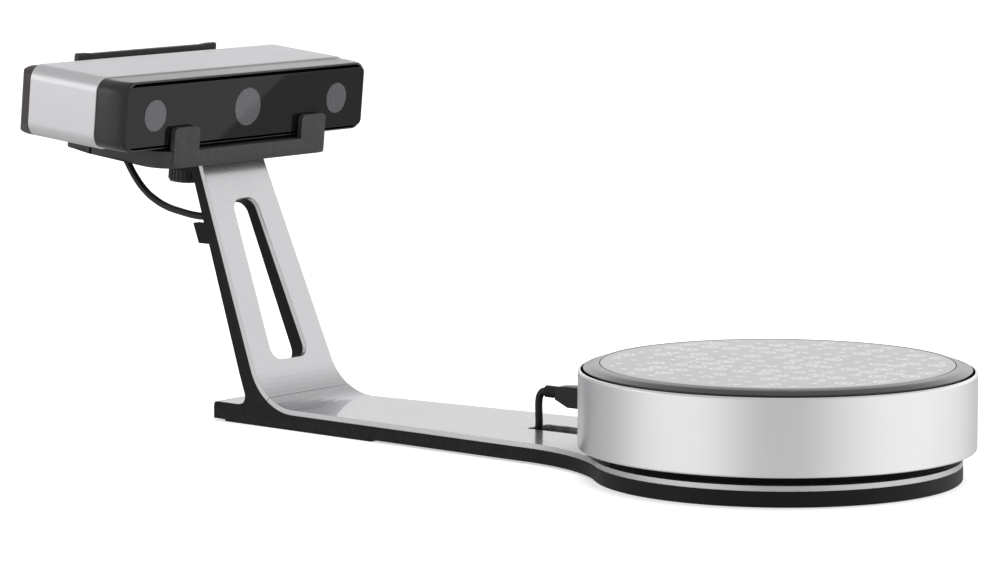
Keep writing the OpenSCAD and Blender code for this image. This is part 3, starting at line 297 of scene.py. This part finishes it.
# ------------------------------------------------------------------ materials
silver = surface("silver_paint", (0.53, 0.53, 0.545), (0.57, 0.57, 0.585), (0.24, 0.31), 0.14, 0.0015,
                 metal=0.85, coat=0.7, coat_rough=0.02, edge_tint=(0.62, 0.62, 0.64), edge=0.7)
sleeve_silver = surface("sleeve_paint", (0.585, 0.585, 0.60), (0.625, 0.625, 0.64), (0.30, 0.38), 0.14,
                        0.006, metal=0.8, coat=0.2, coat_rough=0.12, edge_tint=(0.7, 0.7, 0.72))
base_black = surface("moulded_black", (0.0045, 0.0045, 0.005), (0.006, 0.006, 0.0065), (0.42, 0.52), 0.5,
                     0.02, wear=(0.02, 0.02, 0.021), amount=0.4, specular=0.15)
tray_black = surface("cradle_black", (0.020, 0.0195, 0.021), (0.025, 0.0245, 0.026), (0.46, 0.54), 0.45,
                     0.022, wear=(0.05, 0.05, 0.052), specular=0.4)
bezel_black = surface("bezel_black", (0.008, 0.0078, 0.0085), (0.011, 0.0105, 0.0115), (0.25, 0.31), 0.3,
                      0.004, coat=0.35, coat_rough=0.2, specular=0.35)
cap_brown = surface("cap_grey", (0.038, 0.029, 0.030), (0.046, 0.036, 0.037), (0.42, 0.50), 0.4, 0.02,
                    wear=(0.09, 0.08, 0.08), specular=0.4)
inner_black = surface("inner_black", (0.012, 0.012, 0.013), (0.02, 0.02, 0.021), (0.35, 0.5), 0.4, 0.015)
rubber = surface("rubber", (0.006, 0.006, 0.006), (0.009, 0.009, 0.009), (0.62, 0.8), 0.7, 0.03,
                 specular=0.3)
lead_black = surface("lead_jacket", (0.005, 0.005, 0.0055), (0.007, 0.007, 0.0075), (0.34, 0.44), 0.25,
                     0.012, specular=0.3)
nylon = surface("nylon", (0.74, 0.72, 0.66), (0.80, 0.78, 0.72), (0.38, 0.5), 0.5, 0.02)
steel = surface("machined_steel", (0.48, 0.48, 0.49), (0.58, 0.58, 0.59), (0.22, 0.36), 0.12, 0.006,
                metal=1.0, wear=(0.75, 0.75, 0.76))
motor_steel = surface("zinc_plate", (0.38, 0.39, 0.40), (0.47, 0.48, 0.49), (0.3, 0.42), 0.35, 0.012,
                      metal=1.0)
platter_black = surface("platter_black", (0.008, 0.008, 0.009), (0.012, 0.012, 0.013), (0.16, 0.22), 0.3,
                        0.005, coat=0.3, coat_rough=0.06, wear=(0.03, 0.03, 0.03), specular=0.3)


def drum_metal():
    """Satin aluminium turned in a lathe: fine lines round the axis."""
    material, tree, shader = new_material("drum_aluminium")
    grain = use(tree, GRAIN, Size_mm=0.2)
    lines = use(tree, TURNING, Pitch_mm=0.22)
    colour = tint(tree, grain["Cloud"], (0.80, 0.80, 0.815), (0.84, 0.84, 0.85))
    mask = use(tree, WEAR, Amount=0.4)["Mask"]
    tree.links.new(blend_colour(tree, mask, colour, (0.93, 0.93, 0.94)), shader.inputs["Base Color"])
    tree.links.new(spread(tree, grain["Smudge"], 0.3, 0.7, 0.26, 0.33), shader.inputs["Roughness"])
    raised = add(tree, "ShaderNodeBump", {"Height": lines["Height"], "Distance": 0.004 * MM})
    tree.links.new(raised.outputs[0], shader.inputs["Normal"])
    shader.inputs["Metallic"].default_value = 1.0
    return material


def circuit_board():
    """Green lacquer over copper tracks, with tinned pads."""
    material, tree, shader = new_material("circuit_board")
    place = add(tree, "ShaderNodeTexCoord").outputs["Object"]
    tracks = add(tree, "ShaderNodeTexBrick", {"Vector": place, "Scale": 190.0, "Mortar Size": 0.06,
                                              "Color1": (0.012, 0.13, 0.06, 1),
                                              "Color2": (0.014, 0.16, 0.07, 1),
                                              "Mortar": (0.02, 0.24, 0.10, 1)})
    pads = add(tree, "ShaderNodeTexVoronoi", {"Vector": place, "Scale": 330.0})
    mask = maths(tree, "LESS_THAN", pads.outputs["Distance"], 0.16)
    colour = blend_colour(tree, mask, tracks.outputs["Color"], (0.62, 0.60, 0.55))
    tree.links.new(colour, shader.inputs["Base Color"])
    tree.links.new(mask, shader.inputs["Metallic"])
    shader.inputs["Roughness"].default_value = 0.3
    return material


def marker_film():
    """Glossy black film printed with round coded markers: a dot and a broken ring round it.

    Each marker stands in a cell of its own, and its lengths but the last are shares of a cell.
    """
    per_metre, sectors = 74.0, 10
    dot_r, ring_r, ring_half, share, printed_r = 0.14, 0.31, 0.06, 0.45, 0.0885
    material, tree, shader = new_material("marker_film")
    place = add(tree, "ShaderNodeTexCoord").outputs["Object"]
    apart = add(tree, "ShaderNodeSeparateXYZ", {0: place}).outputs
    x = maths(tree, "SUBTRACT", apart["X"], TABLE_X * MM)
    flat = add(tree, "ShaderNodeCombineXYZ", {"X": x, "Y": apart["Y"]}).outputs[0]
    cells = add(tree, "ShaderNodeTexVoronoi", {"Vector": flat, "Scale": per_metre, "Randomness": 0.3},
                voronoi_dimensions="2D")
    large = add(tree, "ShaderNodeVectorMath", {0: flat, 1: (per_metre,) * 3}, operation="MULTIPLY")
    away = add(tree, "ShaderNodeVectorMath", {0: large.outputs[0], 1: cells.outputs["Position"]},
               operation="SUBTRACT")
    off = add(tree, "ShaderNodeSeparateXYZ", {0: away.outputs[0]}).outputs
    angle = maths(tree, "ARCTAN2", off["Y"], off["X"])
    part = maths(tree, "FLOOR", maths(tree, "MULTIPLY_ADD", angle, sectors / (2 * math.pi), sectors / 2))
    code = add(tree, "ShaderNodeTexWhiteNoise", {"Vector": cells.outputs["Position"], "W": part},
               noise_dimensions="4D").outputs["Value"]
    near = cells.outputs["Distance"]
    dot = maths(tree, "LESS_THAN", near, dot_r)
    off_ring = maths(tree, "ABSOLUTE", maths(tree, "SUBTRACT", near, ring_r))
    ring = maths(tree, "LESS_THAN", off_ring, ring_half)
    ring = maths(tree, "MULTIPLY", ring, maths(tree, "GREATER_THAN", code, share))
    radius = add(tree, "ShaderNodeVectorMath", {0: flat}, operation="LENGTH").outputs["Value"]
    inside = maths(tree, "LESS_THAN", radius, printed_r)
    mask = maths(tree, "MULTIPLY", maths(tree, "MAXIMUM", dot, ring), inside)
    grain = use(tree, GRAIN, Size_mm=0.3)
    black = tint(tree, grain["Cloud"], (0.010, 0.010, 0.011), (0.016, 0.016, 0.017))
    tree.links.new(blend_colour(tree, mask, black, (0.36, 0.36, 0.37)), shader.inputs["Base Color"])
    tree.links.new(spread(tree, grain["Smudge"], 0.3, 0.7, 0.06, 0.13), shader.inputs["Roughness"])
    raised = add(tree, "ShaderNodeBump", {"Height": mask, "Distance": 0.02 * MM})
    tree.links.new(raised.outputs[0], shader.inputs["Normal"])
    shader.inputs["Coat Weight"].default_value = 0.4
    shader.inputs["Coat Roughness"].default_value = 0.04
    return material


def front_glass():
    """Smoked glass, painted black behind except over the three windows."""
    material, tree, shader = new_material("smoked_glass")
    place = add(tree, "ShaderNodeTexCoord").outputs["Object"]
    apart = add(tree, "ShaderNodeSeparateXYZ", {0: place}).outputs
    level = (head_frame() @ Vector((18, 0, OPTIC_Z))).z
    high = maths(tree, "SUBTRACT", apart["Z"], level)
    clear = None
    for middle, radius in WINDOWS:
        aside = maths(tree, "SUBTRACT", apart["Y"], middle * MM)
        far = add(tree, "ShaderNodeCombineXYZ", {"X": aside, "Y": high}).outputs[0]
        far = add(tree, "ShaderNodeVectorMath", {0: far}, operation="LENGTH").outputs["Value"]
        hole = maths(tree, "LESS_THAN", far, radius * MM)
        clear = hole if clear is None else maths(tree, "MAXIMUM", clear, hole)
    grain = use(tree, GRAIN, Size_mm=0.5)
    paint_colour = tint(tree, grain["Cloud"], (0.0045, 0.0045, 0.005), (0.006, 0.006, 0.0068))
    tree.links.new(paint_colour, shader.inputs["Base Color"])
    tree.links.new(spread(tree, grain["Smudge"], 0.3, 0.7, 0.001, 0.006), shader.inputs["Roughness"])
    shader.inputs["Specular IOR Level"].default_value = 0.28
    see = add(tree, "ShaderNodeBsdfTransparent", {"Color": (0.62, 0.62, 0.64, 1)})
    gloss = add(tree, "ShaderNodeBsdfGlossy", {"Color": (0.9, 0.92, 1.0, 1), "Roughness": 0.004})
    facing = add(tree, "ShaderNodeFresnel", {"IOR": 1.5}).outputs[0]
    haze = add(tree, "ShaderNodeBsdfDiffuse", {"Color": (0.40, 0.40, 0.42, 1)})
    dim = add(tree, "ShaderNodeMixShader", {0: 0.2, 1: see.outputs[0], 2: haze.outputs[0]})
    pane = add(tree, "ShaderNodeMixShader", {0: facing, 1: dim.outputs[0], 2: gloss.outputs[0]})
    whole = add(tree, "ShaderNodeMixShader", {0: clear, 1: shader.outputs[0], 2: pane.outputs[0]})
    tree.links.new(whole.outputs[0], tree.nodes["Material Output"].inputs["Surface"])
    return material


def lens_glass():
    """A coated lens: almost black, with a cool sheen."""
    material, tree, shader = new_material("lens_glass")
    grain = use(tree, GRAIN, Size_mm=0.5)
    tree.links.new(tint(tree, grain["Cloud"], (0.010, 0.012, 0.030), (0.02, 0.016, 0.045)),
                   shader.inputs["Base Color"])
    shader.inputs["Roughness"].default_value = 0.04
    shader.inputs["Coat Weight"].default_value = 1.0
    shader.inputs["Coat Tint"].default_value = (0.75, 0.82, 1.0, 1)
    return material


drum_silver, board, marker = drum_metal(), circuit_board(), marker_film()
glass, lens = front_glass(), lens_glass()

# ------------------------------------------------------------------ CAD nodes that show as they are
paint(silver, "arm_skin", "neck_skin", "heel_plate")
paint(base_black, "stand_frame", "bottom_cover", "cable_clip", "turntable_chassis")
paint(tray_black, "knob")
paint(rubber, "rear_foot_pad", "disc_feet", "cradle_pads")
paint(lead_black, "head_plug", "turntable_plug")
paint(inner_black, "camera_left", "camera_right", "projector", "power_inlet", "lead_port",
      "power_button", "button_switch", "turntable_socket")
paint(steel, "knob_stud", "usb_port", "cap_screws", "cover_screws", "gear_screws", "spindle",
      "upper_bearing", "lower_bearing", "spindle_clip", "idler_pin", "idler_clip", "motor_shaft",
      "motor_screws", "unit_screws")
paint(motor_steel, "optics_plate", "drive_motor")
paint(nylon, "platter_gear", "idler_gear", "motor_pinion")
paint(board, "main_board", "turntable_board")
paint(drum_silver, "drum_shell")
paint(platter_black, "platter")
paint(marker, "marker_disc")

for part, width in (("heel_plate", 0.3),
                    ("stand_frame", 0.4), ("bottom_cover", 0.3), ("cable_clip", 0.4),
                    ("turntable_chassis", 0.5), ("knob", 0.2),
                    ("rear_foot_pad", 0.3), ("disc_feet", 0.4),
                    ("cradle_pads", 0.15), ("head_plug", 0.5), ("turntable_plug", 0.35),
                    ("power_inlet", 0.2), ("usb_port", 0.2), ("power_button", 0.4),
                    ("drum_shell", 0.3), ("platter", 0.3), ("marker_disc", 0.2)):
    soften(part, width)


# ------------------------------------------------------------------ head and cradle
WIDER = 1.8                      # how much further out the head's ends are than the solids'
END_FROM = 88                    # past this the head's own points belong to its ends
TAPER = 8                        # how much further in the tray's rear corners are
ENDS = [(lambda p: p.y > END_FROM, (0, WIDER, 0)), (lambda p: p.y < -END_FROM, (0, -WIDER, 0))]
CAP_TOP = [(lambda p: p.z > -5, (0, 0, -1.2))]
REAR_WALL_EARS = [(lambda p: p.z > 2, (0, 0, -0.8))]
REAR_CORNERS = [(lambda p: p.y > 60 and p.x < -40, (0, -TAPER, 0)),
                (lambda p: p.y < -60 and p.x < -40, (0, TAPER, 0))]
remade("head_sleeve", sleeve_silver, ENDS, 0.4)
remade("rear_cap", cap_brown, ENDS + CAP_TOP, 0.4)
remade("front_glass", glass, ENDS, 0.3)
remade("cradle", tray_black, REAR_WALL_EARS + REAR_CORNERS, 0.5)


GROOVE_X = 17.1                  # floor of the groove that the glass sits in
BORE_DEPTH = 4.5                 # wall of each window's bore behind the glass
BEZEL_Z = -20.4                  # middle of the bezel's height


def head_bezel():
    """Black front bezel: its ends curve in towards the glass, which sits in a narrow groove."""
    half_w, half_h, corner = 105.2 + WIDER - 0.8, 19.6, 7.7
    straight, curve, inset, turn_down = 6.0, 13, 5.2, 1.1
    bm = bmesh.new()
    bmesh.ops.create_grid(bm, x_segments=1, y_segments=1, size=1)
    bmesh.ops.transform(bm, matrix=Matrix.Diagonal((half_h, half_w, 1, 1)), verts=bm.verts)
    bmesh.ops.bevel(bm, geom=bm.verts[:], offset=corner, segments=10, profile=0.5, affect="VERTICES")
    bmesh.ops.transform(bm, matrix=Matrix.Rotation(math.radians(90), 4, "Y"), verts=bm.verts)
    front = bm.faces[:][0]
    steps = [(straight, 0.0, 0.0)]
    steps += [(straight + curve * math.sin(math.radians(a)), inset * (1 - math.cos(math.radians(a))),
               0.0 if a < 64 else turn_down * ((a - 64) / 26) ** 2) for a in range(8, 91, 4)]
    steps += [(18.9, 5.6, 1.6), (GROOVE_X, 5.65, 1.65)]
    last = (0.0, 0.0, 0.0)
    for x, aside, down in steps:
        made = bmesh.ops.extrude_face_region(bm, geom=[front])
        ring = [v for v in made["geom"] if isinstance(v, bmesh.types.BMVert)]
        front = [f for f in made["geom"] if isinstance(f, bmesh.types.BMFace)][0]
        grow = Matrix.Diagonal((1, (half_w - aside) / (half_w - last[1]),
                                (half_h - down) / (half_h - last[2]), 1))
        bmesh.ops.transform(bm, matrix=Matrix.Translation((x - last[0], 0, 0)) @ grow, verts=ring)
        last = (x, aside, down)
    return bm, front


def bezel_piece():
    """Closes the bezel's front round three open bores, and gives each bore its wall."""
    bm, front = head_bezel()
    rim = front.edges[:]
    bmesh.ops.delete(bm, geom=[front], context="FACES_ONLY")
    holes = []
    for y, radius in WINDOWS:
        place = (Matrix.Translation((GROOVE_X, y, OPTIC_Z - BEZEL_Z))
                 @ Matrix.Rotation(math.radians(90), 4, "Y"))
        made = bmesh.ops.create_circle(bm, cap_ends=False, radius=radius, segments=48, matrix=place)
        holes.append({edge for vert in made["verts"] for edge in vert.link_edges})
    bmesh.ops.triangle_fill(bm, edges=rim + [edge for hole in holes for edge in hole], use_beauty=True)
    for hole in holes:
        made = bmesh.ops.extrude_edge_only(bm, edges=list(hole))
        verts = [v for v in made["geom"] if isinstance(v, bmesh.types.BMVert)]
        bmesh.ops.translate(bm, verts=verts, vec=(-BORE_DEPTH, 0, 0))
    bmesh.ops.translate(bm, verts=bm.verts, vec=(0, 0, BEZEL_Z))
    finish_piece(bm, "bezel_shell", bezel_black, "root", ("front_bezel",), head_frame(), 24)


bezel_piece()


def disc_rim():
    """Lower rim of the black disc, which hides its four feet."""
    bm = bmesh.new()
    turned(bm, [(93.6, 1.4), (93.6, 0.35), (97.1, 0.35), (97.5, 0.7), (97.5, 2.4)], steps=180)
    finish_piece(bm, "disc_rim", base_black, "root")


disc_rim()


# ------------------------------------------------------------------ lead
def lead_points():
    """The lead's route: out of the head, down a loose bow, through neck and arm, up to its plug."""
    head, neck, base = head_frame(), neck_frame(), base_frame()
    points = [head @ Vector((-69, -8, -28)), head @ Vector((-69, -8, -35))]
    bow = [(-458.4, -8, 161), (-458.6, -8, 153), (-457, -8, 145.5), (-453.4, -8, 139.5),
           (-447.9, -8.5, 132.6), (-439.2, -9.5, 125), (-429.6, -11.5, 120.5), (-419, -13.5, 117.3),
           (-406, -16, 115.4), (-392, -18.5, 114.2)]
    points += [base @ Vector(p) for p in bow]
    for turn in (68, 46, 23, 0):
        t = math.radians(turn)
        points.append(neck @ Vector((-2.6 - 9 * (1 - math.cos(t)), -19.5, 108 + 9 * math.sin(t))))
    for s in (95, 80, 65, 50, 35):
        points.append(neck @ Vector((-2.6, -19.5 - 5.5 * (108 - s) / 84, s)))
    reach, around = FILLET * math.tan(math.radians(34.2)), FILLET + 2.6
    for turn in (68, 51, 34, 17, 0):
        t = math.radians(turn)
        points.append(base @ Vector((-329 + reach - around * math.sin(t), -25,
                                     8.7 + FILLET - around * math.cos(t))))
    for along, left in ((0, 1), (0.13, 0.94), (0.33, 0.74), (0.53, 0.52), (0.72, 0.3), (0.88, 0.14),
                        (1, 0.04)):
        points.append(base @ Vector((-300 + along * (SLOT_X - 27.8 + 300), -25 * left, 6.1)))
    points += [base @ Vector(p) for p in ((SLOT_X - 15.8, 0, 5), (SLOT_X - 8.2, 0, 4.4))]
    for turn in (28, 58, 90):
        t = math.radians(turn)
        points.append(base @ Vector((SLOT_X - 8.2 * (1 - math.sin(t)), 0, 4.4 + 8.2 * (1 - math.cos(t)))))
    points.append(base @ Vector((SLOT_X, 0, 19.2)))
    for turn in (0, 30, 60, 90):
        t = math.radians(turn)
        points.append(base @ Vector((-153.7 - (-153.7 - SLOT_X) * math.cos(t), 0,
                                     32.1 - 6 * (1 - math.sin(t)))))
    points.append(base @ Vector((-152.7, 0, 32.1)))
    return points


def make_lead():
    """The black lead as one smooth tube on its route."""
    curve = bpy.data.curves.new("lead_line", "CURVE")
    curve.dimensions = "3D"
    curve.bevel_depth = 2.1 * MM
    curve.bevel_resolution = 6
    curve.resolution_u = 8
    curve.use_fill_caps = True
    points = lead_points()
    line = curve.splines.new("BEZIER")
    line.bezier_points.add(len(points) - 1)
    for knot, place in zip(line.bezier_points, points):
        knot.co = place
        knot.handle_left_type = knot.handle_right_type = "AUTO"
    drawn = bpy.data.objects.new("lead_line", curve)
    bpy.context.scene.collection.objects.link(drawn)
    bpy.context.view_layer.update()
    mesh = bpy.data.meshes.new_from_object(drawn.evaluated_get(bpy.context.evaluated_depsgraph_get()))
    bpy.data.objects.remove(drawn)
    piece = bpy.data.objects.new("lead_tube", mesh)
    bpy.context.scene.collection.objects.link(piece)
    mesh.materials.clear()
    mesh.materials.append(lead_black)
    for face in mesh.polygons:
        face.use_smooth = True
    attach(piece, "root")
    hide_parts("lead")
    print("lead length", round(sum((a - b).length for a, b in zip(points, points[1:])), 4))


make_lead()


# ------------------------------------------------------------------ optics behind the glass
def front_lens(name, y, reach):
    """A domed front lens in the end of its barrel."""
    bm = bmesh.new()
    dome = [(reach * math.sin(math.radians(a)), BARREL_END + LENS_CURVE * math.cos(math.radians(a)))
            for a in range(0, 25, 4)]
    turned(bm, [(0.0, dome[0][1])] + dome[1:], at=(0, y, OPTIC_Z), axis="X", steps=48)
    finish_piece(bm, name + "_lens", lens, "root", place=head_frame())


for label, y, reach in (("left", -CAMERA_Y, 10.5), ("right", CAMERA_Y, 10.5), ("middle", 0, 13)):
    front_lens(label, y, reach)


# ------------------------------------------------------------------ floor, light and camera
def pale_floor():
    """A plain pale floor, lit from above."""
    material, tree, shader = new_material("pale_floor")
    shader.inputs["Base Color"].default_value = (0.8, 0.8, 0.8, 1)
    shader.inputs["Roughness"].default_value = 0.9
    shader.inputs["Emission Color"].default_value = (1, 1, 1, 1)
    shader.inputs["Emission Strength"].default_value = 0.55
    bm = bmesh.new()
    bmesh.ops.create_grid(bm, x_segments=4, y_segments=4, size=40)
    mesh = bpy.data.meshes.new("floor")
    bm.to_mesh(mesh)
    bm.free()
    floor = bpy.data.objects.new("floor", mesh)
    bpy.context.scene.collection.objects.link(floor)
    mesh.materials.append(material)
    floor.visible_glossy = False


TO_CAMERA = Vector((0.618, -0.786, 0))
TO_RIGHT = Vector((0.786, 0.618, 0))
# The surround's sides: degrees round and up, where each starts and is full, and what it adds
SIDES = ((82, 0.0, 0.35, 0.93, 0.46), (-60, 0.0, 0.7, 0.97, 0.42), (-150, -7, 0.7, 0.97, -0.16))
CARD_PLACE = (0.628, 0.750, -0.208)          # where a dark card stands that the front glass shows
CARD_EDGE = (-0.6867, 0.4062, -0.6029)       # across the card's slanting edge


def round_about(degrees, height=0.0):
    """A direction so many degrees round from the camera's side, and as high as asked."""
    a = math.radians(degrees)
    return (TO_CAMERA * math.cos(a) + TO_RIGHT * math.sin(a)
            + Vector((0, 0, math.tan(math.radians(height))))).normalized()


def studio_sky():
    """Plain studio surround: bright behind above the table, two broad bright sides, a dark card."""
    world = bpy.data.worlds.new("studio")
    world.use_nodes = True
    bpy.context.scene.world = world
    tree = world.node_tree
    back = tree.nodes["Background"]
    back.inputs["Color"].default_value = (1, 1, 1, 1)
    look = add(tree, "ShaderNodeTexCoord").outputs["Generated"]
    rise = add(tree, "ShaderNodeSeparateXYZ", {0: look}).outputs["Z"]

    def lobe(direction, start, end, gain):
        toward = add(tree, "ShaderNodeVectorMath", {0: look, 1: direction}, operation="DOT_PRODUCT")
        return spread(tree, toward.outputs["Value"], start, end, 0.0, gain)

    low = spread(tree, rise, -0.03, 0.16, 0.0, 1.0)
    high = spread(tree, rise, 0.36, 0.60, 1.0, 0.0)
    behind = maths(tree, "MULTIPLY", lobe(round_about(180, 12), 0.2, 0.85, 0.6), low)
    total = maths(tree, "MULTIPLY_ADD", behind, high, 0.60)
    for degrees, height, start, end, gain in SIDES:
        total = maths(tree, "ADD", total, lobe(round_about(degrees, height), start, end, gain))
    card = add(tree, "ShaderNodeVectorMath", {0: look, 1: CARD_EDGE}, operation="DOT_PRODUCT")
    beyond = spread(tree, card.outputs["Value"], -0.0005, 0.0005, 0.0, -0.55)
    near_card = lobe(Vector(CARD_PLACE).normalized(), 0.996, 0.9985, 1)
    total = maths(tree, "ADD", total, maths(tree, "MULTIPLY", beyond, near_card))
    straight_seen = add(tree, "ShaderNodeLightPath").outputs["Is Camera Ray"]
    made = add(tree, "ShaderNodeMix", {0: straight_seen, 2: total, 3: 1.0})
    tree.links.new(made.outputs[0], back.inputs["Strength"])


def soft_light(name, place, target, size, power, seen=False):
    """A soft lamp at a place, turned to what it lights, and seen or not in glossy surfaces."""
    lamp = bpy.data.lights.new(name, "AREA")
    lamp.shape = "DISK"
    lamp.size = size
    lamp.energy = power
    held = bpy.data.objects.new(name, lamp)
    held.location = place
    held.visible_glossy = seen
    held.rotation_euler = (Vector(place) - Vector(target)).to_track_quat("Z", "Y").to_euler()
    bpy.context.scene.collection.objects.link(held)


pale_floor()
studio_sky()
soft_light("top_light", (0.2, 0.2, 1.95), (0, 0, 0.08), 1.8, 20)
soft_light("side_light", (-0.62, -0.65, 0.38), (-0.17, -0.10, 0.17), 0.45, 0.35, True)
soft_light("right_light", (1.35, 1.09, 1.0), (0, 0, 0.08), 1.2, 7)
bpy.context.scene.view_settings.view_transform = "Standard"

# The photograph's own viewpoint, fitted to the object's edges
eye = bpy.data.cameras.new("photo_view")
eye.lens = 168.58
eye.sensor_width = 36
eye.sensor_fit = "HORIZONTAL"
camera = bpy.data.objects.new("photo_view", eye)
camera.location = (1.568014, -2.00425, 0.40057)
camera.rotation_euler = (math.radians(90 - 6.949), 0, math.radians(38.159))
bpy.context.scene.collection.objects.link(camera)
bpy.context.scene.camera = camera
